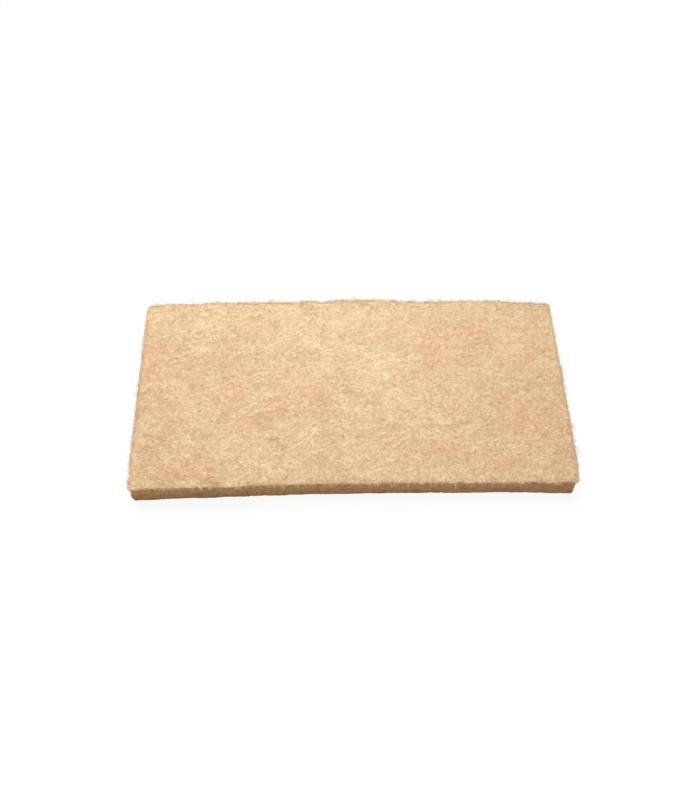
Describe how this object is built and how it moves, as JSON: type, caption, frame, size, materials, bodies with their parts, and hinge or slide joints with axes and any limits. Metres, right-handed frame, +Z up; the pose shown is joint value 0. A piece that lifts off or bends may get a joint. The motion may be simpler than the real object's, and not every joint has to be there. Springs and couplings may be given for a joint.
{
  "type": "cleaning pad",
  "caption": "Flat rectangular hand cleaning pad, die-cut from a lofty beige nonwoven web of bonded fibres, with slightly bowed edges.",
  "frame": {"origin": "centre of the flat base that the pad lies on", "axes": "+X along the long side, +Y towards the far long edge, +Z up through the thickness"},
  "size_m": [0.2484, 0.1214, 0.0185],
  "materials": {
    "fibre_web": "matt lofty nonwoven of crimped beige fibres with a thin binder"
  },
  "bodies": {
    "root": {"cleaning_pad": "fibre_web"}
  },
  "joints": []
}
